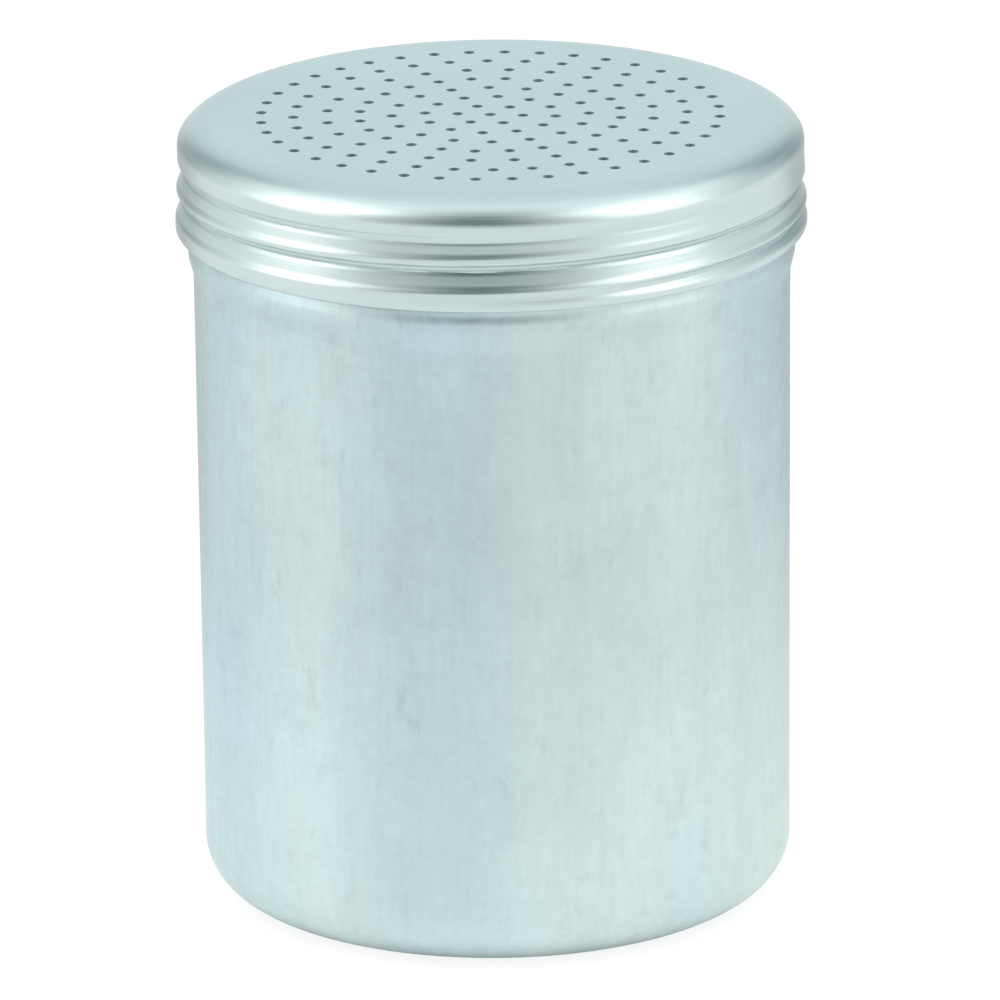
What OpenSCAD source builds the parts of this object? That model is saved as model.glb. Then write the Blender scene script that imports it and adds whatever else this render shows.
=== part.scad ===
// Screw-top sheet-metal shaker: a deep-drawn canister and a perforated screw lid.
// Millimetres. +Z is up, the axis of the canister is Z and it rests on the plane z = 0.
// Angles are counter-clockwise from +X, seen from above; -Y is the front.

/* [Canister] */
// Height of the canister, from the ring that it rests on to its rim
canister_h = 88; // [60:1:160]
// Outside diameter of the straight wall, just under the shoulder
body_d = 67; // [45:0.5:110]
// Amount by which the wall draws in on each side, from the shoulder down to the base
body_taper = 0.3; // [0:0.1:1.5]
// Thickness of the canister's sheet
canister_wall = 0.8; // [0.5:0.1:1.4]
// Radius of the rounded edge round the base
base_fillet = 6; // [2:0.5:9]
// Diameter of the raised panel in the middle of the base
base_panel_d = 46; // [20:1:70]
// Height of the raised panel over the ring that the canister rests on
base_panel_h = 0.8; // [0.3:0.1:2]

/* [Neck] */
// Amount by which the neck stands out from the wall on each side
neck_swell = 0.55; // [0:0.05:2]
// Height of the neck, from the top of the shoulder to the rim
neck_h = 13; // [9:0.5:20]
// Height of the curved shoulder between the wall and the neck
shoulder_h = 3; // [2:0.5:9]
// Depth of the hollow in the neck above its foot, which leaves a bead under the lid
hollow_d = 0.4; // [0:0.05:0.6]
// Height over which the neck draws in from the bead to that hollow
hollow_h = 1.4; // [1:0.1:2]
// Height of the plain rim above the neck's thread
rim_h = 1.8; // [1:0.1:3]

/* [Thread] */
// Rise of the right-hand rolled thread in one turn
thread_pitch = 3.4; // [3.2:0.1:5]
// Depth of the crease that is rolled into the lid's skirt
thread_depth = 0.7; // [0.4:0.05:1]
// Width of the crease in the lid's skirt
crease_w = 2.4; // [1.2:0.1:2.4]
// Distance from the lid's flat top down to the middle of the crease, at angle 0
thread_drop = 10.55; // [9:0.05:12]
// Angle at which the crease starts, in the lid's lower edge
thread_start = -150; // [-180:5:0]
// Angle at which the crease has run out, near the lid's top
thread_end = 710; // [500:5:720]
// Angle over which the crease grows at its lower end
run_in = 60; // [20:5:120]
// Angle over which the crease fades at its upper end
run_out = 100; // [20:5:150]
// Radial clearance between the lid's thread and the neck's
thread_gap = 0.35; // [0.2:0.05:0.6]
// Clearance on each side of the lid's crease in the neck's groove
thread_side_gap = 0.4; // [0.2:0.05:0.5]

/* [Lid] */
// Thickness of the lid's sheet
lid_sheet = 0.7; // [0.4:0.1:1.2]
// Height of the lid, from its lower edge to its flat top
lid_h = 12.5; // [11:0.1:18]
// Width of the rounded corner between the flat top and the skirt
corner_w = 5.5; // [3:0.5:9]
// Height of that rounded corner
corner_h = 3; // [2:0.5:5]
// Amount by which the skirt flares out on each side, down to its lower edge
skirt_flare = 0.3; // [0:0.05:0.5]
// Height of the rolled edge at the foot of the skirt
hem_h = 0.7; // [0.5:0.1:1.5]
// Gap between the canister's rim and the underside of the lid's corner
seat_gap = 0.4; // [0.1:0.05:1]

/* [Perforations] */
// Diameter of each shaking hole
hole_d = 1.25; // [0.8:0.05:3]
// Distance from one ring of holes to the next
ring_step = 3.67; // [2.5:0.05:6]
// Angle of the row of holes that every ring starts from
ring_turn = 113.2; // [0:0.1:360]

/* [Hidden] */

// Holes in each ring, from the innermost out
ring_holes = [6, 12, 16, 24, 24, 32, 40];

// Facets of a true circle, and of a drilled hole
circle_fn = 180;
hole_fn = 24;
// Steps of a rounded corner, and the angle step and rows per pitch of a threaded wall
arc_steps = 8;
thread_step = 6;
rows_per_pitch = 7;
// Height over which a threaded wall turns plain, and how far its ends sink in the plain wall
plain_blend = 1.2;
tongue_h = 0.5;
// How far below the surface of the plain wall those ends lie
tongue_inset = 0.1;

// Canister
body_r = body_d / 2;
base_r = body_r - body_taper;
neck_r = body_r + neck_swell;
neck_z = canister_h - neck_h;
shoulder_z = neck_z - shoulder_h;
rim_z = canister_h - rim_h;
// The groove is as deep as the lid's crease, and its floor is the rim's outer face
rim_r = neck_r - thread_depth;
groove_w = crease_w + 2 * thread_side_gap;

// Lid, seated on the rim: its corner is where the rim's edge meets it, less the gap
lid_r = neck_r + thread_gap + lid_sheet;
lid_top = canister_h + seat_gap + lid_sheet + corner_drop(rim_r);
lid_foot = lid_top - lid_h;
hem_top = lid_foot + hem_h;
skirt_top = lid_top - corner_h;
hem_r = lid_r + skirt_flare;

// Height of the crease's middle at angle 0
thread_z = lid_top - thread_drop;

// Fall of the corner's underside below the flat underside, at radius r
function corner_drop(r) =
    let (u = (r - (lid_r - corner_w)) / (corner_w - lid_sheet))
    (corner_h - lid_sheet) * (1 - sqrt(1 - pow(min(max(u, 0), 1), 2)));

// Smooth step from 0 to 1 while t goes from 0 to 1
function smooth(t) =
    let (u = min(max(t, 0), 1))
    u * u * (3 - 2 * u);

// Points of an elliptical arc about [x, z], in the plane of a turned profile
function arc(x, z, rx, rz, from, to) =
    [for (i = [0 : arc_steps])
        let (a = from + (to - from) * i / arc_steps)
        [x + rx * cos(a), z + rz * sin(a)]];

function backwards(list) = [for (i = [len(list) - 1 : -1 : 0]) list[i]];

// Total angle along the helix of the turn that passes nearest to height z at angle a
function turn_angle(z, a) = a + 360 * round((z - thread_z) / thread_pitch - a / 360);

// Share of the thread's full depth at height z and angle a, for a wave of the given width
function thread_wave(z, a, width) =
    let (off = z - thread_z - thread_pitch * turn_angle(z, a) / 360)
    abs(off) < width / 2 ? (1 + cos(360 * off / width)) / 2 : 0;

// Outer radius of the lid's skirt
function skirt_r(z, a) =
    let (along = turn_angle(z, a))
    let (ends = smooth((along - thread_start) / run_in)
              * smooth((thread_end - along) / run_out))
    let (plain = smooth((z - hem_top) / plain_blend)
               * smooth((skirt_top - z) / plain_blend))
    let (flare = skirt_flare * smooth((skirt_top - z) / (skirt_top - hem_top)))
    lid_r + flare - thread_depth * ends * plain * thread_wave(z, a, crease_w);

// Outer radius of the neck: a hollow over its bead, then a groove that starts under the lid's
// crease and opens at the rim
function neck_outer_r(z, a) =
    let (start = smooth((turn_angle(z, a) - thread_start + run_in) / run_in))
    let (low = smooth((z - neck_z) / plain_blend))
    let (open = smooth((z - rim_z + plain_blend) / plain_blend))
    let (above = (z - neck_z - tongue_h) / hollow_h)
    let (hollow = hollow_d * smooth(above) * smooth(2 - above))
    neck_r - max(thread_depth * max(start * low * thread_wave(z, a, groove_w), open), hollow);

// Closed wall between z = low and z = high, whose outer radius follows r_at(z, a). An end that
// joins a plain wall is a thinner tongue that goes into it.
module threaded_wall(r_at, wall, low, high, foot_tongue, head_tongue) {
    count = ceil((high - low) / thread_pitch * rows_per_pitch);
    body_rows = [for (i = [0 : count]) [low + (high - low) * i / count, 0]];
    foot = foot_tongue ? [[low - tongue_h, tongue_inset], [low, tongue_inset]] : [];
    head = head_tongue ? [[high, tongue_inset], [high + tongue_h, tongue_inset]] : [];
    rise = (high - low) / count / 4;
    lifted = [for (i = [0 : count])
        [body_rows[i][0] + (i == 0 && foot_tongue ? rise : 0)
                         - (i == count && head_tongue ? rise : 0), 0]];
    rows = concat(foot, lifted, head);
    steps = 360 / thread_step;
    top = len(rows) - 1;
    inside = len(rows) * steps;
    points = [for (skin = [0, 1]) for (row = rows) for (j = [0 : steps - 1])
        let (a = j * thread_step)
        let (z = min(max(row[0], low), high))
        let (r = r_at(z, a) + (skin == 0 ? -row[1] : row[1] - wall))
        [r * cos(a), r * sin(a), row[0]]];
    outer_faces = [for (i = [0 : top - 1]) for (j = [0 : steps - 1])
        let (k = (j + 1) % steps)
        let (bl = i * steps + j, br = i * steps + k)
        for (face = [[bl, bl + steps, br + steps], [bl, br + steps, br]])
        face];
    inner_faces = [for (face = outer_faces) [for (p = backwards(face)) p + inside]];
    end_faces = [for (i = [0, top]) for (j = [0 : steps - 1])
        let (k = (j + 1) % steps)
        let (o = i * steps + (i == 0 ? j : k), p = i * steps + (i == 0 ? k : j))
        for (face = [[o, p, p + inside], [o, p + inside, o + inside]])
        face];
    polyhedron(points, concat(outer_faces, inner_faces, end_faces));
}

// Profile line of the cup from the axis out and up to the neck, set in by a wall's thickness
function cup_line(inset) =
    let (r = base_r - inset)
    let (fillet = base_fillet - inset)
    let (panel_r = base_panel_d / 2)
    concat(
        [[0, base_panel_h + inset],
         [panel_r - base_panel_h, base_panel_h + inset],
         [panel_r + base_panel_h, inset]],
        arc(r - fillet, inset + fillet, fillet, fillet, -90, 0),
        [for (i = [0 : arc_steps])
            [body_r + neck_swell * smooth(i / arc_steps) - inset,
             shoulder_z + shoulder_h * i / arc_steps]],
        [[neck_r - inset, neck_z + tongue_h]]);

// Deep-drawn cup with a threaded neck and a plain rounded rim
module canister() {
    lip = canister_wall / 2;
    color([0.77, 0.83, 0.83])
    union() {
        rotate_extrude($fn = circle_fn)
        polygon(concat(cup_line(0), backwards(cup_line(canister_wall))));

        threaded_wall(function(z, a) neck_outer_r(z, a), canister_wall,
                      neck_z + tongue_h, rim_z, true, true);

        rotate_extrude($fn = circle_fn)
        polygon(concat(
            [[rim_r - canister_wall, rim_z], [rim_r, rim_z]],
            arc(rim_r - lip, canister_h - lip, lip, lip, 0, 180)));
    }
}

// Profile line of the lid's crown from the axis out and down to the skirt
function crown_line(inset) =
    concat(
        [[0, lid_top - inset]],
        arc(lid_r - corner_w, lid_top - corner_h, corner_w - inset, corner_h - inset, 90, 0),
        [[lid_r - inset, skirt_top - tongue_h]]);

// Rings of shaking holes about the one in the middle
module perforations() {
    hole_h = 3 * lid_sheet;
    translate([0, 0, lid_top - 2 * lid_sheet]) {
        cylinder(d = hole_d, h = hole_h, $fn = hole_fn);
        for (ring = [0 : len(ring_holes) - 1])
        for (i = [0 : ring_holes[ring] - 1])
        rotate(ring_turn + 360 * i / ring_holes[ring])
        translate([(ring + 1) * ring_step, 0, 0])
        cylinder(d = hole_d, h = hole_h, $fn = hole_fn);
    }
}

// Perforated screw lid: the crown and the skirt with its rolled thread
module lid() {
    color([0.76, 0.84, 0.85])
    union() {
        difference() {
            rotate_extrude($fn = circle_fn)
            polygon(concat(crown_line(0), backwards(crown_line(lid_sheet))));
            perforations();
        }
        threaded_wall(function(z, a) skirt_r(z, a), lid_sheet,
                      hem_top, skirt_top - tongue_h, false, true);
    }
}

// Rolled edge at the foot of the lid's skirt, with a rounded lower side
module lid_rolled_edge() {
    half = lid_sheet / 2;
    color([0.74, 0.81, 0.82])
    rotate_extrude($fn = circle_fn)
    polygon(concat(
        [[hem_r, hem_top], [hem_r - lid_sheet, hem_top]],
        arc(hem_r - half, lid_foot + half, half, half, 180, 360)));
}

canister();
lid();
lid_rolled_edge();
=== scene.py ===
import math  # noqa: E402

import bmesh  # noqa: E402
import bpy  # noqa: E402
from mathutils import Matrix, Vector  # noqa: E402


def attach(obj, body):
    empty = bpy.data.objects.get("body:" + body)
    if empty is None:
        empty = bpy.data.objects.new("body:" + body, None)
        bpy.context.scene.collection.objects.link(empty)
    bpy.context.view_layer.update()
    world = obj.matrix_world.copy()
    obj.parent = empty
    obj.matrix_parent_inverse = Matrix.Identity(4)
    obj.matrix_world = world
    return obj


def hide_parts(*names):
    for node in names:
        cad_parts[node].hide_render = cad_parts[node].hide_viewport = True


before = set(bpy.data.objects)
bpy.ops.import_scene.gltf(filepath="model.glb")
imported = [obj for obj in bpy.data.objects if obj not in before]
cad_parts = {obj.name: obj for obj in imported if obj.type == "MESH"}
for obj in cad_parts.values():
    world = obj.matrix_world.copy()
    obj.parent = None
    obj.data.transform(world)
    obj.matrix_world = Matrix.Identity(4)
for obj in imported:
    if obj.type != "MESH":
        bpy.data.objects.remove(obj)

# A drawn sheet-metal shaker with a perforated screw lid. Lengths are written in millimetres and
# turned into metres by MM, apart from those of the camera, the room and the lights, which are in
# metres. +Z is up along the shaker's axis, and -Y is the front. Azimuths start at +X.
MM = 0.001
WELD_MM = 0.001
WELD = WELD_MM * MM

# Canister
CANISTER_H = 88.0
BODY_R = 33.5
BODY_TAPER = 0.3
CANISTER_WALL = 0.8
BASE_FILLET = 6.0
BASE_PANEL_R = 23.0
BASE_PANEL_H = 0.8
BASE_PANEL_STEP = 2.4
NECK_SWELL = 0.55
NECK_H = 13.0
SHOULDER_H = 3.0
HOLLOW_D = 0.23
HOLLOW_H = 1.4
BEAD_H = 0.5
RIM_H = 1.8
BASE_R = BODY_R - BODY_TAPER
NECK_R = BODY_R + NECK_SWELL
NECK_Z = CANISTER_H - NECK_H
SHOULDER_Z = NECK_Z - SHOULDER_H
RIM_Z = CANISTER_H - RIM_H

# Rolled thread, and the groove in the neck that it runs in
THREAD_PITCH = 3.4
THREAD_DEPTH = 0.7
THREAD_DROP = 10.55
THREAD_GAP = 0.35
PLAIN_BLEND = 1.2
GROOVE_W = 3.2
GROOVE_START = -210.0
GROOVE_RUN_IN = 60.0
ENDLESS = 1e6
RIM_R = NECK_R - THREAD_DEPTH
# The lid's crease falls in quickly from above. Below it comes out in a fine line, a long gentle
# slope and a late step, whose shares of the depth are given here.
CREASE_START = -100.0
CREASE_END = 735.0
CREASE_RUN_IN = 70.0
CREASE_RUN_OUT = 215.0
CREASE_RISE = 0.95
CREASE_FALL = 2.3
CREASE_LINE_W = 0.4
CREASE_LINE_SHARE = 0.14
CREASE_STEP_SHARE = 0.28
CREASE_STEP_FROM = 0.66
CREASE_STEP_TO = 1.0
FADED_WIDTH = 0.75
FADE_POWER = 2.0

# Lid
LID_SHEET = 0.7
LID_H = 12.5
CORNER_W = 5.5
CORNER_H = 3.0
SKIRT_FLARE = 0.3
HEM_H = 0.7
SEAT_GAP = 0.4
LID_R = NECK_R + THREAD_GAP + LID_SHEET
RIM_SHARE = (RIM_R - LID_R + CORNER_W) / (CORNER_W - LID_SHEET)
CORNER_DROP = (CORNER_H - LID_SHEET) * (1 - math.sqrt(1 - RIM_SHARE**2))
LID_TOP = CANISTER_H + SEAT_GAP + LID_SHEET + CORNER_DROP - WELD_MM
LID_FOOT = LID_TOP - LID_H
HEM_TOP = LID_FOOT + HEM_H
SKIRT_TOP = LID_TOP - CORNER_H
HEM_R = LID_R + SKIRT_FLARE
THREAD_Z = LID_TOP - THREAD_DROP

# Perforations
HOLE_D = 1.25
HOLE_SIDES = 16
RING_STEP = 3.67
RING_TURN = 113.2
RING_HOLES = (6, 12, 16, 24, 24, 32, 40)
PLATE_R = 27.6

# Unevenness of the sheet: amount, blend at its two ends, waves per metre, and seed
WALL_UNEVEN = {"amount": 0.08 * MM, "blend": 6.0 * MM, "spread": 34.0, "seed": 3.0}
SKIRT_UNEVEN = {"amount": 0.06 * MM, "blend": 1.5 * MM, "spread": 70.0, "seed": 7.0}
UNEVEN_DETAIL = 2.0

# Fineness of the turned skins: steps round the axis, rows up a wall, and steps of a curve
CANISTER_STEPS = 256
LID_STEPS = 288
THREAD_ROW = 0.125
NECK_ROW = 0.22
WALL_ROW = 2.5
BASE_RINGS = (8.0, 16.0, 20.0)
PANEL_STEPS = 8
FILLET_STEPS = 14
SHOULDER_ROWS = 12
LIP_STEPS = 12
CORNER_STEPS = 30
HEM_STEPS = 16
SHARP_ANGLE = math.radians(38)

# Canister's metal: its colours, then each grain as its scale on X, Y and Z, detail and roughness
DRAWN_PALE = (0.59, 0.712, 0.706, 1)
DRAWN_COOL = (0.54, 0.682, 0.716, 1)
DRAWN_ROUGH = 0.5
CLOUD = ((38, 38, 14), 3.0, 0.5)
FINE = ((700, 700, 640), 5.0, 0.65)
BRUSH = ((1400, 1400, 120), 6.0, 0.7)
ACROSS = ((35, 35, 1100), 3.0, 0.6)
BANDS = ((120, 120, 10), 2.0, 0.5)
PATCHES = ((58, 58, 44), 4.0, 0.6)
SMUDGE = ((360, 360, 210), 7.0, 0.76)
RUBBED = ((90, 90, 60), 4.0, 0.6)
# Parts of a grain's range that show
CLOUD_EDGE = (0.35, 0.65)
SMUDGE_EDGE = (0.52, 0.70)
RUBBED_EDGE = (0.56, 0.72)
# How far each grain changes the tone
FINE_TONE = 0.20
BRUSH_TONE = 0.22
ACROSS_TONE = 0.05
BANDS_TONE = 0.14
PATCHES_TONE = 0.15
SMUDGE_TONE = -0.085
RUBBED_TONE = 0.05
# The wall is paler and a little warmer towards its foot
FOOT_TONE = 0.738
WALL_TONE = 0.588
FOOT_TONE_H = 50.0
FOOT_GREEN = 0.98
FOOT_BLUE = 0.952
FOOT_TINT_H = 34.0
# Roughness for two amounts of grain, and its share on the neck from the bead up
GRAIN_SPAN = (0.6, 1.4)
DRAWN_ROUGH_SPAN = (0.42, 0.56)
NECK_ROUGH_SHARE = 0.85
NECK_SHINE_BLEND = 0.4
# Heights and strengths of the two bumps
BRUSH_BUMP = (0.03 * MM, 0.25)
FINE_BUMP = (0.12 * MM, 0.5)

# Lid's metal, in the same way. Its colour and its roughness turn to the flat top's over two bands
# of the corner, each given as the drop below the top at its two ends. The flat top's colour, darker
# than the skirt's, is partly its own tone and partly painted shade, and its wider band carries it
# down the corner as painted shade.
PRESSED_PALE = (0.60, 0.71, 0.70, 1)
# Painted shade in the creases, mixed in by the crease's depth times CREASE_SHADE
PRESSED_PAINTED_SHADE = (0.40, 0.50, 0.50, 1)
PRESSED_TOP_AND_SHADE = (0.505, 0.655, 0.668, 1)
# Painted shade on the walls of the holes
PRESSED_BORE_SHADE = (0.45, 0.58, 0.59, 1)
PRESSED_ROUGH = 0.35
TOP_COLOUR_AND_SHADE_BAND = (2.0, 0.2)
TOP_GRAIN_BAND = (0.9, 0.1)
CREASE_SHADE = 0.3
LID_GRAIN = ((2200, 2200, 2200), 3.0, 0.6)
LID_CLOUD = ((60, 60, 60), 3.0, 0.5)
TURNING_LINES = ((30, 30, 5200), 2.0, 0.6)
LID_CLOUD_TONE = 0.12
LID_TONE = 0.94
SKIRT_ROUGH = 0.24
LINES_ROUGH = 0.2
TOP_ROUGH = 0.36
GRAIN_ROUGH = 0.1
BORE_ROUGH = 0.75
GRAIN_BUMP_H = 0.03 * MM
LINES_BUMP_H = 0.02 * MM
LINES_BUMP = 0.6

# Camera
VIEW_ELEVATION = math.radians(17.75)
VIEW_DISTANCE = 1.4199
VIEW_HEIGHT = 0.046
VIEW_AIM = (0.00063, 0.0, 0.0447)
VIEW_ROLL = math.radians(-0.6)
VIEW_CLIP = (0.05, 50.0)
LENS = 453.1
SENSOR = 36.0

# Room: a grey surround, then parts of it as middle azimuth, half width, lowest and highest
# elevation, blur, all in degrees, and tone. Azimuth 270 is the camera's side.
WHITE = (1.0, 1.0, 1.0, 1.0)
ROOM_TONE = (0.86, 0.87, 0.87)
DARK = (0.04, 0.095, 0.108)
DIM = (0.26, 0.325, 0.34)
SHADE = (0.32, 0.38, 0.39)
SHADE_PATCHES = ((124, 13, -30, 48, 8), (56, 13, -30, 48, 8))
ROOM_PATCHES = (
    (90, 60, 55, 90, 9, (1.15, 1.15, 1.15)),
    (48, 22, -30, 45, 9, (0.70, 0.76, 0.80)),
    *((*place, SHADE) for place in SHADE_PATCHES),
    (265, 55, 4, 84, 10, (0.62, 0.62, 0.62)),
    (264, 17, 7, 40, 8, DIM),
    (264, 17, 19, 90, 8, DARK),
    (193, 24, -8, 60, 9, (1.05, 1.05, 1.04)),
    (330, 24, -8, 60, 9, (1.0, 1.0, 1.0)),
    (166, 36, 42, 80, 8, (1.4, 1.4, 1.38)),
    (14, 36, 42, 80, 8, (1.4, 1.4, 1.38)),
)
SWEEP = (90, 21, -30, 50, 8)
ZENITH = 90

# Two soft panels, as azimuth and power, aimed at the lid
PANELS = ((193, 3.5), (334, 3.2))
PANEL_SIZE = (0.62, 1.3)
PANEL_COLOUR = (1.0, 0.95, 0.92)
PANEL_AWAY = 0.95
PANEL_Z = 0.72
LID_PLACE = (0.0, 0.0, 0.08)

# Floor: half its width in metres, then its paint and glow
FLOOR_HALF = 3.0
FLOOR_Z = -0.02
FLOOR_PAINT = (0.8, 0.8, 0.8, 1)
FLOOR_SHOWN_PAINT = (0.2, 0.2, 0.2, 1)
FLOOR_GLOW = 0.85
# Shares of the glow that shiny metal sees: painted shade in the shaded parts of the room, and a
# painted shadow beneath the shaker, which is full out to the radius given last
FLOOR_SHADE = 0.42
UNDER_SHADOW_TONE = 0.3
UNDER_R = 28.0


# ---------------------------------------------------------------- node helpers
def put(tree, socket, value):
    """Sets a plain value on an input, or joins another node's output to it."""
    if isinstance(value, bpy.types.NodeSocket):
        tree.links.new(value, socket)
    else:
        socket.default_value = value


def node(tree, kind, values=None, **settings):
    """Adds a node. values are its inputs by name or number, settings its properties."""
    made = tree.nodes.new(kind)
    for name, value in settings.items():
        setattr(made, name, value)
    for name, value in (values or {}).items():
        put(tree, made.inputs[name], value)
    return made


def calc(tree, operation, *values):
    """A Math node's output."""
    return node(tree, "ShaderNodeMath", dict(enumerate(values)), operation=operation).outputs[0]


def product(tree, *values):
    result = values[0]
    for value in values[1:]:
        result = calc(tree, "MULTIPLY", result, value)
    return result


def total(tree, *values):
    result = values[0]
    for value in values[1:]:
        result = calc(tree, "ADD", result, value)
    return result


def vector(tree, operation, *values, **named):
    """A Vector Math node's vector. values and named are its inputs by number and by name."""
    inputs = dict(enumerate(values))
    inputs.update(named)
    return node(tree, "ShaderNodeVectorMath", inputs, operation=operation).outputs[0]


def stretch(tree, value, low, high, to_low, to_high, **settings):
    """Clamped change of range, in a straight line unless settings say another way."""
    made = node(
        tree,
        "ShaderNodeMapRange",
        {"Value": value, "From Min": low, "From Max": high, "To Min": to_low, "To Max": to_high},
        **settings,
    )
    return made.outputs[0]


def ease(tree, value, low, high, to_low=0.0, to_high=1.0):
    """Smooth step of value between low and high."""
    return stretch(tree, value, low, high, to_low, to_high, interpolation_type="SMOOTHSTEP")


def end_fades(tree, value, low, high, blend):
    """Two factors, which fall from 1 to 0 over blend towards low and towards high."""
    foot = ease(tree, value, low, calc(tree, "ADD", low, blend))
    head = ease(tree, value, calc(tree, "SUBTRACT", high, blend), high, 1.0, 0.0)
    return foot, head


def shape_tree(name, sizes):
    """A Geometry Nodes tree with a mesh input and named sizes, which are name: first value."""
    tree = bpy.data.node_groups.new(name, "GeometryNodeTree")
    face = tree.interface
    face.new_socket("Geometry", in_out="INPUT", socket_type="NodeSocketGeometry")
    face.new_socket("Geometry", in_out="OUTPUT", socket_type="NodeSocketGeometry")
    for size, value in sizes.items():
        kind = "NodeSocketInt" if isinstance(value, int) else "NodeSocketFloat"
        face.new_socket(size, in_out="INPUT", socket_type=kind).default_value = value
    face.new_socket("Finish", in_out="INPUT", socket_type="NodeSocketMaterial")
    tree.nodes.new("NodeGroupInput")
    tree.nodes.new("NodeGroupOutput")
    return tree, tree.nodes["Group Input"].outputs, tree.nodes["Group Output"].inputs


def close_tree(tree, given, result, geometry):
    """Ends a tree in Realize Instances and Set Material."""
    real = node(tree, "GeometryNodeRealizeInstances", {0: geometry})
    last = node(tree, "GeometryNodeSetMaterial", {"Geometry": real.outputs[0]})
    put(tree, last.inputs["Material"], given["Finish"])
    put(tree, result[0], last.outputs[0])


def shape_with(piece, tree, finish, **sizes):
    """Adds the tree as a modifier, with its sizes set by their sockets' identifiers."""
    modifier = piece.modifiers.new(tree.name, "NODES")
    modifier.node_group = tree
    wanted = {name.replace("_", " ").capitalize(): value for name, value in sizes.items()}
    wanted["Finish"] = finish
    for item in tree.interface.items_tree:
        if item.in_out == "INPUT" and item.name in wanted:
            modifier[item.identifier] = wanted[item.name]


def point_axes(tree):
    """X, Y and Z of each point, and the level direction from the axis out to it."""
    place = node(tree, "GeometryNodeInputPosition").outputs[0]
    axes = node(tree, "ShaderNodeSeparateXYZ", {0: place}).outputs
    flat = node(tree, "ShaderNodeCombineXYZ", {"X": axes["X"], "Y": axes["Y"]}).outputs[0]
    return axes, vector(tree, "NORMALIZE", flat)


def pushed_in(tree, geometry, outward, depth):
    """Moves each point towards the axis by its depth."""
    inward = calc(tree, "MULTIPLY", depth, -1.0)
    offset = vector(tree, "SCALE", outward, Scale=inward)
    moved = node(tree, "GeometryNodeSetPosition", {"Geometry": geometry, "Offset": offset})
    return moved.outputs[0]


def marked(tree, geometry, name, value, domain):
    """Keeps a value on the geometry under a name that a finish can read."""
    kept = node(
        tree,
        "GeometryNodeStoreNamedAttribute",
        {"Geometry": geometry, "Name": name, "Value": value},
        data_type="FLOAT",
        domain=domain,
    )
    return kept.outputs[0]


# ---------------------------------------------------------------- shapes that follow a rule
def crease_wave(tree, given, share, off):
    """Depth of the crease, from 1 at its middle to 0 at its edge, where share reaches 1."""
    near = calc(tree, "DIVIDE", calc(tree, "ABSOLUTE", off), given["Line width"])
    line = product(tree, ease(tree, near, 0.0, 1.0, 1.0, 0.0), given["Line share"])
    step = ease(tree, share, given["Step from"], given["Step to"], 1.0, 0.0)
    step = product(tree, step, given["Step share"])
    sharp = total(tree, given["Line share"], given["Step share"])
    slope = stretch(tree, share, 0.0, 1.0, 1.0, 0.0)
    gentle = product(tree, slope, calc(tree, "SUBTRACT", 1.0, sharp))
    return total(tree, gentle, line, step)


def rolled_thread_tree():
    """Pushes a turned skin inwards along a helix, and keeps how deep in "crease"."""
    tree, given, result = shape_tree(
        "rolled thread",
        {
            "Pitch": THREAD_PITCH * MM,
            "Depth": THREAD_DEPTH * MM,
            "Rise": CREASE_RISE * MM,
            "Fall": CREASE_FALL * MM,
            "Line width": CREASE_LINE_W * MM,
            "Line share": CREASE_LINE_SHARE,
            "Step share": CREASE_STEP_SHARE,
            "Step from": CREASE_STEP_FROM,
            "Step to": CREASE_STEP_TO,
            "Height": THREAD_Z * MM,
            "Start": CREASE_START,
            "End": CREASE_END,
            "Run in": CREASE_RUN_IN,
            "Run out": CREASE_RUN_OUT,
            "Low": HEM_TOP * MM,
            "High": SKIRT_TOP * MM,
            "Blend": PLAIN_BLEND * MM,
        },
    )
    axes, outward = point_axes(tree)
    # Turns round the axis, pitches up it, and from the two the nearest turn of the helix
    around = calc(tree, "DIVIDE", calc(tree, "ARCTAN2", axes["Y"], axes["X"]), math.tau)
    climb = calc(tree, "DIVIDE", calc(tree, "SUBTRACT", axes["Z"], given["Height"]), given["Pitch"])
    lean = calc(tree, "SUBTRACT", 0.5, calc(tree, "DIVIDE", given["Rise"], given["Pitch"]))
    passed = total(tree, calc(tree, "SUBTRACT", climb, around), lean)
    turn = total(tree, around, calc(tree, "ROUND", passed))
    along = product(tree, turn, math.degrees(math.tau))
    off = product(tree, calc(tree, "SUBTRACT", climb, turn), given["Pitch"])

    run_in_end = calc(tree, "ADD", given["Start"], given["Run in"])
    starts = ease(tree, along, given["Start"], run_in_end)
    run_out_start = calc(tree, "SUBTRACT", given["End"], given["Run out"])
    ends = ease(tree, along, run_out_start, given["End"], 1.0, 0.0)
    narrow = stretch(tree, calc(tree, "POWER", ends, FADE_POWER), 0.0, 1.0, FADED_WIDTH, 1.0)
    fall = product(tree, given["Fall"], narrow)

    above = calc(tree, "DIVIDE", calc(tree, "MAXIMUM", off, 0.0), given["Rise"])
    below = calc(tree, "DIVIDE", calc(tree, "MAXIMUM", product(tree, off, -1.0), 0.0), fall)
    wave = crease_wave(tree, given, total(tree, above, below), off)
    fades = end_fades(tree, axes["Z"], given["Low"], given["High"], given["Blend"])
    wave = product(tree, wave, starts, ends, *fades)
    kept = marked(tree, given["Geometry"], "crease", wave, "POINT")
    rolled = pushed_in(tree, kept, outward, product(tree, wave, given["Depth"]))
    close_tree(tree, given, result, rolled)
    return tree


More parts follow.
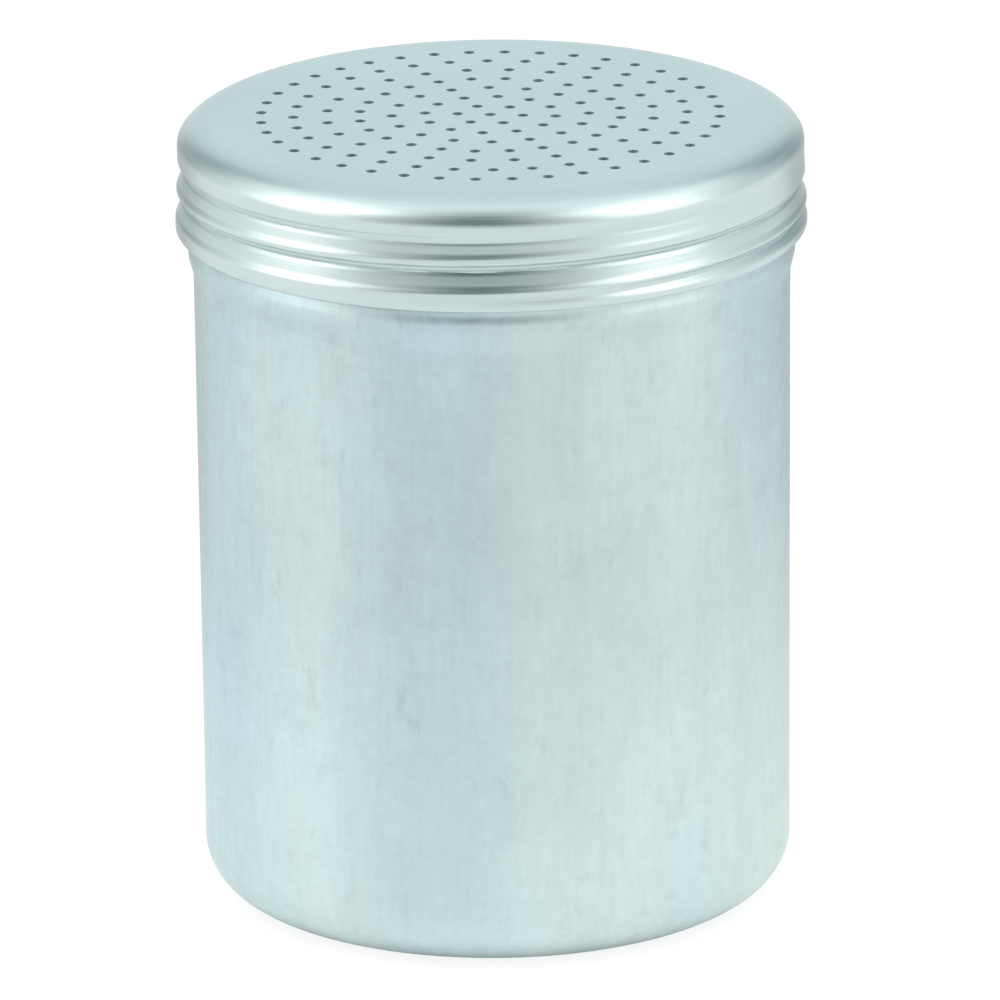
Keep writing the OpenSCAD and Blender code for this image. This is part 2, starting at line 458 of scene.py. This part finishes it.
def handled_sheet_tree():
    """Presses a thin wall in by the small amounts that drawing and handling leave."""
    tree, given, result = shape_tree(
        "handled sheet",
        {
            "Amount": WALL_UNEVEN["amount"],
            "Low": BASE_FILLET * MM,
            "High": NECK_Z * MM,
            "Blend": WALL_UNEVEN["blend"],
            "Spread": WALL_UNEVEN["spread"],
            "Seed": WALL_UNEVEN["seed"],
        },
    )
    axes, outward = point_axes(tree)
    # Both faces of the sheet read the same spot, so that it keeps its thickness
    height = node(tree, "ShaderNodeCombineXYZ", {"Z": axes["Z"]}).outputs[0]
    spot = vector(tree, "ADD", vector(tree, "SCALE", outward, Scale=BODY_R * MM), height)
    dents = node(
        tree,
        "ShaderNodeTexNoise",
        {"Vector": spot, "W": given["Seed"], "Scale": given["Spread"], "Detail": UNEVEN_DETAIL},
        noise_dimensions="4D",
    ).outputs[0]
    fades = end_fades(tree, axes["Z"], given["Low"], given["High"], given["Blend"])
    depth = product(tree, dents, given["Amount"], *fades)
    close_tree(tree, given, result, pushed_in(tree, given["Geometry"], outward, depth))
    return tree


def lifted(tree, geometry, height):
    up = node(tree, "ShaderNodeCombineXYZ", {"Z": height}).outputs[0]
    moved = node(tree, "GeometryNodeTransform", {"Geometry": geometry, "Translation": up})
    return moved.outputs[0]


def joined(tree, *parts):
    join = tree.nodes.new("GeometryNodeJoinGeometry")
    for part in parts:
        tree.links.new(part, join.inputs[0])
    return join.outputs[0]


def circle(tree, sides, radius):
    made = node(
        tree, "GeometryNodeCurvePrimitiveCircle", {"Resolution": sides, "Radius": radius}
    )
    return made.outputs[0]


def copied(tree, spots, shape):
    """Copies of a shape at every spot, made real."""
    copies = node(tree, "GeometryNodeInstanceOnPoints", {"Points": spots, "Instance": shape})
    return node(tree, "GeometryNodeRealizeInstances", {0: copies.outputs[0]}).outputs[0]


def hole_spots(tree, given):
    """A point for each hole: the middle one, and the rings round it."""
    points = [node(tree, "GeometryNodeMeshLine", {"Count": 1}).outputs[0]]
    for ring, count in enumerate(RING_HOLES, 1):
        radius = product(tree, given["Ring step"], float(ring))
        made = node(tree, "GeometryNodeMeshCircle", {"Vertices": count, "Radius": radius})
        points.append(made.outputs[0])
    turn = node(tree, "ShaderNodeCombineXYZ", {"Z": given["Turn"]}).outputs[0]
    turned_spots = node(
        tree, "GeometryNodeTransform", {"Geometry": joined(tree, *points), "Rotation": turn}
    )
    return turned_spots.outputs[0]


def holed_plate(tree, given, spots, height):
    """A flat disc with every hole left open, at a height."""
    holes = copied(tree, spots, circle(tree, given["Sides"], given["Hole radius"]))
    edge = circle(tree, given["Steps"], given["Plate radius"])
    filled = node(tree, "GeometryNodeFillCurve", {0: joined(tree, holes, edge)})
    return lifted(tree, filled.outputs[0], height)


def perforations_tree():
    """Fills the open middle of the lid, top and underside, with a plate of rings of holes."""
    tree, given, result = shape_tree(
        "perforations",
        {
            "Hole radius": HOLE_D / 2 * MM,
            "Ring step": RING_STEP * MM,
            "Turn": math.radians(RING_TURN),
            "Plate radius": PLATE_R * MM,
            "Top": LID_TOP * MM,
            "Thickness": LID_SHEET * MM,
            "Sides": HOLE_SIDES,
            "Steps": LID_STEPS,
        },
    )
    spots = hole_spots(tree, given)
    underside = calc(tree, "SUBTRACT", given["Top"], given["Thickness"])
    middle = calc(tree, "SUBTRACT", given["Top"], calc(tree, "DIVIDE", given["Thickness"], 2.0))
    bore = node(
        tree,
        "GeometryNodeMeshCylinder",
        {"Vertices": given["Sides"], "Radius": given["Hole radius"], "Depth": given["Thickness"]},
        fill_type="NONE",
    )
    bores = copied(tree, spots, lifted(tree, bore.outputs["Mesh"], middle))
    whole = joined(
        tree,
        given["Geometry"],
        holed_plate(tree, given, spots, given["Top"]),
        holed_plate(tree, given, spots, underside),
        marked(tree, bores, "bore", 1.0, "FACE"),
    )
    welded = node(tree, "GeometryNodeMergeByDistance", {"Geometry": whole, "Distance": WELD})
    close_tree(tree, given, result, welded.outputs[0])
    return tree


# ---------------------------------------------------------------- turned profiles
def smooth(value):
    """Smooth step from 0 to 1."""
    held = min(max(value, 0.0), 1.0)
    return held * held * (3 - 2 * held)


def spaced(low, high, step):
    """Even values from low to high, both kept, no further apart than step."""
    count = max(1, math.ceil((high - low) / step))
    return [low + (high - low) * i / count for i in range(count + 1)]


def arc(x, z, rx, rz, start, end, steps):
    """Points of an elliptical arc about (x, z), from start to end degrees."""
    angles = (math.radians(start + (end - start) * i / steps) for i in range(steps + 1))
    return [(x + rx * math.cos(a), z + rz * math.sin(a)) for a in angles]


def base_line(inset):
    """The base from its middle over the raised panel's edge and round the fillet."""
    line = [(r, BASE_PANEL_H + inset) for r in (0.0, *BASE_RINGS)]
    for i in range(PANEL_STEPS + 1):
        share = i / PANEL_STEPS
        radius = BASE_PANEL_R + BASE_PANEL_STEP * (share - 0.5)
        line.append((radius, BASE_PANEL_H * (1 - smooth(share)) + inset))
    fillet = BASE_FILLET - inset
    line += arc(BASE_R - inset - fillet, BASE_FILLET, fillet, fillet, -90, 0, FILLET_STEPS)
    return line


def cup_skin(inset):
    """One skin of the canister from the middle of its base up to its rim."""
    line = base_line(inset)
    for z in spaced(BASE_FILLET, SHOULDER_Z, WALL_ROW)[1:]:
        share = (z - BASE_FILLET) / (SHOULDER_Z - BASE_FILLET)
        line.append((BASE_R + BODY_TAPER * share - inset, z))
    for z in spaced(SHOULDER_Z, NECK_Z, SHOULDER_H / SHOULDER_ROWS)[1:]:
        line.append((BODY_R + NECK_SWELL * smooth((z - SHOULDER_Z) / SHOULDER_H) - inset, z))
    for z in spaced(NECK_Z, RIM_Z, NECK_ROW)[1:]:
        opening = smooth((z - RIM_Z + PLAIN_BLEND) / PLAIN_BLEND)
        above = (z - NECK_Z - BEAD_H) / HOLLOW_H
        hollow = HOLLOW_D * smooth(above) * smooth(2 - above)
        line.append((NECK_R - THREAD_DEPTH * opening - hollow - inset, z))
    return line


def canister_line():
    lip = CANISTER_WALL / 2
    rim = arc(RIM_R - lip, CANISTER_H - lip, lip, lip, 0, 180, LIP_STEPS)
    return cup_skin(0.0) + rim + cup_skin(CANISTER_WALL)[::-1]


def lid_skin(inset):
    """One skin of the lid from the edge of its perforated plate down to its hem."""
    flat_r = LID_R - CORNER_W
    line = [(PLATE_R, LID_TOP - inset), ((PLATE_R + flat_r) / 2, LID_TOP - inset)]
    corner_w = CORNER_W - inset
    corner_h = CORNER_H - inset
    line += arc(flat_r, SKIRT_TOP, corner_w, corner_h, 90, 0, CORNER_STEPS)
    for z in spaced(HEM_TOP, SKIRT_TOP, THREAD_ROW)[::-1][1:]:
        flare = SKIRT_FLARE * smooth((SKIRT_TOP - z) / (SKIRT_TOP - HEM_TOP))
        line.append((LID_R + flare - inset, z))
    return line


def lid_line():
    return lid_skin(0.0) + lid_skin(LID_SHEET)[::-1]


def hem_line():
    half = LID_SHEET / 2
    line = [(HEM_R - LID_SHEET, HEM_TOP)]
    line += arc(HEM_R - half, LID_FOOT + half, half, half, 180, 360, HEM_STEPS)
    return line + [(HEM_R, HEM_TOP)]


def ring_of_points(shell, radius, height, steps):
    """Points round the axis. On the axis itself they are one and the same point."""
    if radius < WELD_MM:
        return [shell.verts.new((0.0, 0.0, height * MM))] * steps
    ring = []
    for j in range(steps):
        angle = math.tau * j / steps
        x, y = radius * math.cos(angle), radius * math.sin(angle)
        ring.append(shell.verts.new((x * MM, y * MM, height * MM)))
    return ring


def turned(name, line, steps, closed=False):
    """An object whose skin is the line of (radius, height) turned about Z."""
    shell = bmesh.new()
    rings = [ring_of_points(shell, radius, height, steps) for radius, height in line]
    pairs = list(zip(rings, rings[1:]))
    if closed:
        pairs.append((rings[-1], rings[0]))
    for one, other in pairs:
        for j in range(steps):
            k = (j + 1) % steps
            corners = []
            for corner in (one[j], one[k], other[k], other[j]):
                if corner not in corners:
                    corners.append(corner)
            shell.faces.new(corners)
    mesh = bpy.data.meshes.new(name)
    shell.to_mesh(mesh)
    shell.free()
    piece = bpy.data.objects.new(name, mesh)
    bpy.context.scene.collection.objects.link(piece)
    return piece


def settle(piece, finish):
    """Turns the modifiers' result into a plain closed mesh with outward faces."""
    graph = bpy.context.evaluated_depsgraph_get()
    mesh = bpy.data.meshes.new_from_object(piece.evaluated_get(graph))
    piece.modifiers.clear()
    shell = bmesh.new()
    shell.from_mesh(mesh)
    bmesh.ops.remove_doubles(shell, verts=shell.verts, dist=WELD)
    bmesh.ops.recalc_face_normals(shell, faces=shell.faces)
    if shell.calc_volume(signed=True) < 0:
        bmesh.ops.reverse_faces(shell, faces=shell.faces)
    loose = sum(1 for edge in shell.edges if not edge.is_manifold)
    shell.to_mesh(mesh)
    shell.free()
    mesh.materials.clear()
    mesh.materials.append(finish)
    mesh.shade_smooth()
    mesh.set_sharp_from_angle(angle=SHARP_ANGLE)
    mesh.name = piece.name
    piece.data = mesh
    print(piece.name, "faces", len(mesh.polygons), "open edges", loose)


# ---------------------------------------------------------------- finishes
def new_finish(name, roughness):
    """A metal material. Returns it, its tree and its shader."""
    finish = bpy.data.materials.new(name)
    finish.use_nodes = True
    tree = finish.node_tree
    shader = tree.nodes["Principled BSDF"]
    shader.inputs["Metallic"].default_value = 1.0
    shader.inputs["Roughness"].default_value = roughness
    return finish, tree, shader


def object_height(tree):
    place = node(tree, "ShaderNodeTexCoord").outputs["Object"]
    return node(tree, "ShaderNodeSeparateXYZ", {0: place}).outputs["Z"]


def kept_value(tree, name):
    """A value that a shape tree kept on the mesh."""
    return node(tree, "ShaderNodeAttribute", attribute_name=name).outputs["Fac"]


def noise(tree, scale, detail, rough):
    """Noise on object coordinates, stretched by scale on each axis."""
    place = node(tree, "ShaderNodeTexCoord").outputs["Object"]
    spot = node(tree, "ShaderNodeMapping", {"Vector": place, "Scale": scale}).outputs[0]
    made = node(
        tree,
        "ShaderNodeTexNoise",
        {"Vector": spot, "Scale": 1.0, "Detail": detail, "Roughness": rough},
    )
    return made.outputs["Fac"]


def blend_colour(tree, share, one, other, mode="MIX"):
    made = node(tree, "ShaderNodeMix", {"Factor": share}, data_type="RGBA", blend_type=mode)
    put(tree, made.inputs[6], one)
    put(tree, made.inputs[7], other)
    return made.outputs[2]


def blend_value(tree, share, one, other):
    return node(tree, "ShaderNodeMix", {"Factor": share, "A": one, "B": other}).outputs[0]


def toned(tree, colour, red, green, blue):
    """The colour times a tone for each of its channels."""
    tone = node(tree, "ShaderNodeCombineColor", {0: red, 1: green, 2: blue}).outputs[0]
    return blend_colour(tree, 1.0, colour, tone, "MULTIPLY")


def bumped(tree, height, distance, strength, below=None):
    values = {"Height": height, "Distance": distance, "Strength": strength}
    if below is not None:
        values["Normal"] = below
    return node(tree, "ShaderNodeBump", values).outputs[0]


def canister_tone(tree, height, fine, brush):
    """Brightness of the wall: brushing, bands, patches, dark smudges and rubbed spots."""
    smudge = ease(tree, noise(tree, *SMUDGE), *SMUDGE_EDGE)
    rubbed = ease(tree, noise(tree, *RUBBED), *RUBBED_EDGE)
    return total(
        tree,
        product(tree, fine, FINE_TONE),
        product(tree, brush, BRUSH_TONE),
        product(tree, noise(tree, *ACROSS), ACROSS_TONE),
        product(tree, noise(tree, *BANDS), BANDS_TONE),
        product(tree, noise(tree, *PATCHES), PATCHES_TONE),
        product(tree, smudge, SMUDGE_TONE),
        product(tree, rubbed, RUBBED_TONE),
        ease(tree, height, 0.0, FOOT_TONE_H * MM, FOOT_TONE, WALL_TONE),
    )


def canister_finish():
    """Matt drawn aluminium: soft clouds, fine upright brushing and a few scuffs."""
    finish, tree, shader = new_finish("drawn aluminium", DRAWN_ROUGH)
    height = object_height(tree)
    fine = noise(tree, *FINE)
    brush = noise(tree, *BRUSH)
    cloud = ease(tree, noise(tree, *CLOUD), *CLOUD_EDGE)
    colour = blend_colour(tree, cloud, DRAWN_COOL, DRAWN_PALE)
    tone = canister_tone(tree, height, fine, brush)
    green, blue = (
        product(tree, tone, ease(tree, height, 0.0, FOOT_TINT_H * MM, share, 1.0))
        for share in (FOOT_GREEN, FOOT_BLUE)
    )
    put(tree, shader.inputs["Base Color"], toned(tree, colour, tone, green, blue))
    rough = stretch(tree, total(tree, fine, brush), *GRAIN_SPAN, *DRAWN_ROUGH_SPAN)
    shine_from = (NECK_Z - NECK_SHINE_BLEND) * MM
    shiny = ease(tree, height, shine_from, (NECK_Z + BEAD_H) * MM, 1.0, NECK_ROUGH_SHARE)
    put(tree, shader.inputs["Roughness"], product(tree, rough, shiny))
    normal = bumped(tree, brush, *BRUSH_BUMP)
    put(tree, shader.inputs["Normal"], bumped(tree, fine, *FINE_BUMP, normal))
    return finish


def top_share(tree, height, band):
    """0 on the skirt and 1 on the flat top, changing over a band of the corner."""
    low, high = ((LID_TOP - drop) * MM for drop in band)
    return ease(tree, height, low, high)


def lid_finish():
    """Fine matt grain on the flat top, and a shinier rolled skirt with faint turning lines. Shade
    is painted into the creases, the walls of the holes and the top of the corner.
    """
    finish, tree, shader = new_finish("pressed aluminium", PRESSED_ROUGH)
    height = object_height(tree)
    on_top = top_share(tree, height, TOP_GRAIN_BAND)
    bore = kept_value(tree, "bore")
    grain = noise(tree, *LID_GRAIN)
    lines = noise(tree, *TURNING_LINES)

    # Painted shade in the creases, darker where a crease is deeper
    crease = product(tree, kept_value(tree, "crease"), CREASE_SHADE)
    colour = blend_colour(tree, crease, PRESSED_PALE, PRESSED_PAINTED_SHADE)
    # The flat top's colour, partly painted shade, carried down the corner as painted shade
    colour = blend_colour(tree, top_share(tree, height, TOP_COLOUR_AND_SHADE_BAND), colour, PRESSED_TOP_AND_SHADE)
    # Painted shade on the walls of the holes
    colour = blend_colour(tree, bore, colour, PRESSED_BORE_SHADE)
    tone = total(tree, product(tree, noise(tree, *LID_CLOUD), LID_CLOUD_TONE), LID_TONE)
    put(tree, shader.inputs["Base Color"], toned(tree, colour, tone, tone, tone))

    skirt_rough = total(tree, product(tree, lines, LINES_ROUGH), SKIRT_ROUGH)
    top_rough = total(tree, product(tree, grain, GRAIN_ROUGH), TOP_ROUGH)
    rough = blend_value(tree, on_top, skirt_rough, top_rough)
    put(tree, shader.inputs["Roughness"], blend_value(tree, bore, rough, BORE_ROUGH))
    matt = bumped(tree, grain, GRAIN_BUMP_H, on_top)
    rolled = product(tree, calc(tree, "SUBTRACT", 1.0, on_top), LINES_BUMP)
    put(tree, shader.inputs["Normal"], bumped(tree, lines, LINES_BUMP_H, rolled, matt))
    return finish


# ---------------------------------------------------------------- stage
def turned_to(place, aim):
    """A placing at place that looks at aim."""
    way = Vector(aim) - Vector(place)
    return Matrix.Translation(place) @ way.to_track_quat("-Z", "Y").to_matrix().to_4x4()


def level_way(azimuth):
    return Vector((math.cos(math.radians(azimuth)), math.sin(math.radians(azimuth)), 0.0))


def make_camera():
    data = bpy.data.cameras.new("camera")
    data.lens = LENS
    data.sensor_width = SENSOR
    data.clip_start, data.clip_end = VIEW_CLIP
    out = VIEW_DISTANCE * math.cos(VIEW_ELEVATION)
    up = VIEW_HEIGHT + VIEW_DISTANCE * math.sin(VIEW_ELEVATION)
    camera = bpy.data.objects.new("camera", data)
    roll = Matrix.Rotation(VIEW_ROLL, 4, "Z")
    camera.matrix_world = turned_to((0.0, -out, up), VIEW_AIM) @ roll
    bpy.context.scene.collection.objects.link(camera)
    bpy.context.scene.camera = camera


def patch(tree, way, azimuth, half_width, low, high, blur):
    """1 inside a soft-edged part of the room between two heights, all in degrees, else 0."""
    flat = vector(tree, "MULTIPLY", way, (1.0, 1.0, 0.0))
    level = vector(tree, "NORMALIZE", flat)
    turn = node(
        tree, "ShaderNodeVectorMath", {0: level, 1: level_way(azimuth)}, operation="DOT_PRODUCT"
    ).outputs["Value"]
    rise = node(tree, "ShaderNodeSeparateXYZ", {0: way}).outputs["Z"]

    def past(value, edge, wave):
        ends = [wave(math.radians(edge + step)) for step in (blur, -blur)]
        return ease(tree, value, min(ends), max(ends))

    share = product(tree, past(turn, half_width, math.cos), past(rise, low, math.sin))
    if high >= ZENITH:
        return share
    return product(tree, share, calc(tree, "SUBTRACT", 1.0, past(rise, high, math.sin)))


def make_world():
    """White to the camera. Every other ray sees a pale surround with brighter sides and a darker
    front, and shiny metal sees the sweep behind the shaker as white as the camera does."""
    world = bpy.data.worlds.new("studio")
    world.use_nodes = True
    tree = world.node_tree
    sky = tree.nodes["Background"]
    way = node(tree, "ShaderNodeTexCoord").outputs["Generated"]
    room = (*ROOM_TONE, 1.0)
    for *place, tone in ROOM_PATCHES:
        room = blend_colour(tree, patch(tree, way, *place), room, (*tone, 1.0))
    path = node(tree, "ShaderNodeLightPath").outputs
    shiny = calc(tree, "MAXIMUM", path["Is Glossy Ray"], path["Is Transmission Ray"])
    shiny = product(tree, shiny, patch(tree, way, *SWEEP))
    seen = calc(tree, "MAXIMUM", path["Is Camera Ray"], shiny)
    put(tree, sky.inputs["Color"], blend_colour(tree, seen, room, WHITE))
    sky.inputs["Strength"].default_value = 1.0
    bpy.context.scene.world = world


def make_panel(azimuth, power):
    """A large soft light beside the shaker."""
    data = bpy.data.lights.new("panel", "AREA")
    data.color = PANEL_COLOUR
    data.shape = "RECTANGLE"
    data.size, data.size_y = PANEL_SIZE
    data.energy = power
    panel = bpy.data.objects.new("panel", data)
    place = level_way(azimuth) * PANEL_AWAY + Vector((0, 0, PANEL_Z))
    panel.matrix_world = turned_to(place, LID_PLACE)
    bpy.context.scene.collection.objects.link(panel)


def floor_glow(tree, path):
    """Glow of the floor: even to the camera; to metal, darker with painted shade in the shades and
    a painted shadow beneath the shaker.
    """
    spot = node(tree, "ShaderNodeTexCoord").outputs["Object"]
    way = vector(tree, "NORMALIZE", vector(tree, "SUBTRACT", spot, LID_PLACE))
    # Painted shade on the floor's glow where the room is shaded, seen by shiny rays only
    shades = [patch(tree, way, *place) for place in SHADE_PATCHES]
    shade = product(tree, calc(tree, "MAXIMUM", *shades), path["Is Glossy Ray"])
    glow = stretch(tree, shade, 0.0, 1.0, FLOOR_GLOW, FLOOR_GLOW * FLOOR_SHADE)
    # Painted shadow beneath the shaker, seen by shiny rays only
    reach = node(tree, "ShaderNodeVectorMath", {0: spot}, operation="LENGTH").outputs["Value"]
    shadow_under = ease(tree, reach, UNDER_R * MM, BODY_R * MM, 1.0, 0.0)
    shadow_under = product(tree, shadow_under, path["Is Glossy Ray"])
    return product(tree, glow, stretch(tree, shadow_under, 0.0, 1.0, 1.0, UNDER_SHADOW_TONE))


def floor_paint():
    """Plain pale paint to the light, and nearly white where it is seen, with its shadows."""
    paint = bpy.data.materials.new("pale floor")
    paint.use_nodes = True
    tree = paint.node_tree
    tree.nodes.remove(tree.nodes["Principled BSDF"])
    path = node(tree, "ShaderNodeLightPath").outputs
    plain = node(tree, "ShaderNodeBsdfDiffuse", {"Color": FLOOR_PAINT}).outputs[0]
    thin = node(tree, "ShaderNodeBsdfDiffuse", {"Color": FLOOR_SHOWN_PAINT}).outputs[0]
    glow = node(
        tree, "ShaderNodeEmission", {"Color": WHITE, "Strength": floor_glow(tree, path)}
    ).outputs[0]
    shown = node(tree, "ShaderNodeAddShader", {0: thin, 1: glow}).outputs[0]
    direct = calc(tree, "MAXIMUM", path["Is Camera Ray"], path["Is Glossy Ray"])
    direct = calc(tree, "MAXIMUM", direct, path["Is Transmission Ray"])
    mixed = node(tree, "ShaderNodeMixShader", {0: direct, 1: plain, 2: shown}).outputs[0]
    put(tree, tree.nodes["Material Output"].inputs["Surface"], mixed)
    return paint


def make_floor():
    """A plain pale floor, a hair below the ring that the shaker stands on."""
    sides = ((-1, -1), (1, -1), (1, 1), (-1, 1))
    corners = [(x * FLOOR_HALF, y * FLOOR_HALF, FLOOR_Z * MM) for x, y in sides]
    mesh = bpy.data.meshes.new("floor")
    mesh.from_pydata(corners, [], [(0, 1, 2, 3)])
    mesh.materials.append(floor_paint())
    floor = bpy.data.objects.new("floor", mesh)
    bpy.context.scene.collection.objects.link(floor)


# ---------------------------------------------------------------- pieces
def make_canister(thread, sheet, finish):
    canister = turned("canister_shell", canister_line(), CANISTER_STEPS)
    shape_with(canister, sheet, finish)
    shape_with(
        canister, thread, finish,
        rise=GROOVE_W / 2 * MM, fall=GROOVE_W / 2 * MM,
        line_share=0.0, step_share=1.0, step_from=0.0, step_to=1.0,
        low=NECK_Z * MM, high=RIM_Z * MM,
        start=GROOVE_START, run_in=GROOVE_RUN_IN, end=ENDLESS,
    )
    settle(canister, finish)
    return canister


def make_lid(thread, sheet, holes, finish):
    lid = turned("lid_shell", lid_line(), LID_STEPS)
    shape_with(lid, sheet, finish, low=HEM_TOP * MM, high=SKIRT_TOP * MM, **SKIRT_UNEVEN)
    shape_with(lid, thread, finish)
    shape_with(lid, holes, finish)
    settle(lid, finish)
    return lid


def make_hem(finish):
    hem = turned("lid_hem", hem_line(), LID_STEPS, closed=True)
    settle(hem, finish)
    return hem


# ---------------------------------------------------------------- the scene
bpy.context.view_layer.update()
make_camera()
make_world()
for azimuth, power in PANELS:
    make_panel(azimuth, power)
make_floor()

body_metal = canister_finish()
lid_metal = lid_finish()
thread = rolled_thread_tree()
sheet = handled_sheet_tree()
holes = perforations_tree()

for piece, body, stands_for, finish_slot in (
    (make_canister(thread, sheet, body_metal), "canister_body", "canister", "canister_metal"),
    (make_lid(thread, sheet, holes, lid_metal), "lid_body", "lid", "lid_metal"),
    (make_hem(lid_metal), "edge_body", "lid_rolled_edge", "lid_metal"),
):
    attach(piece, body)
    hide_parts(stands_for)

bpy.context.scene.view_settings.view_transform = "Standard"
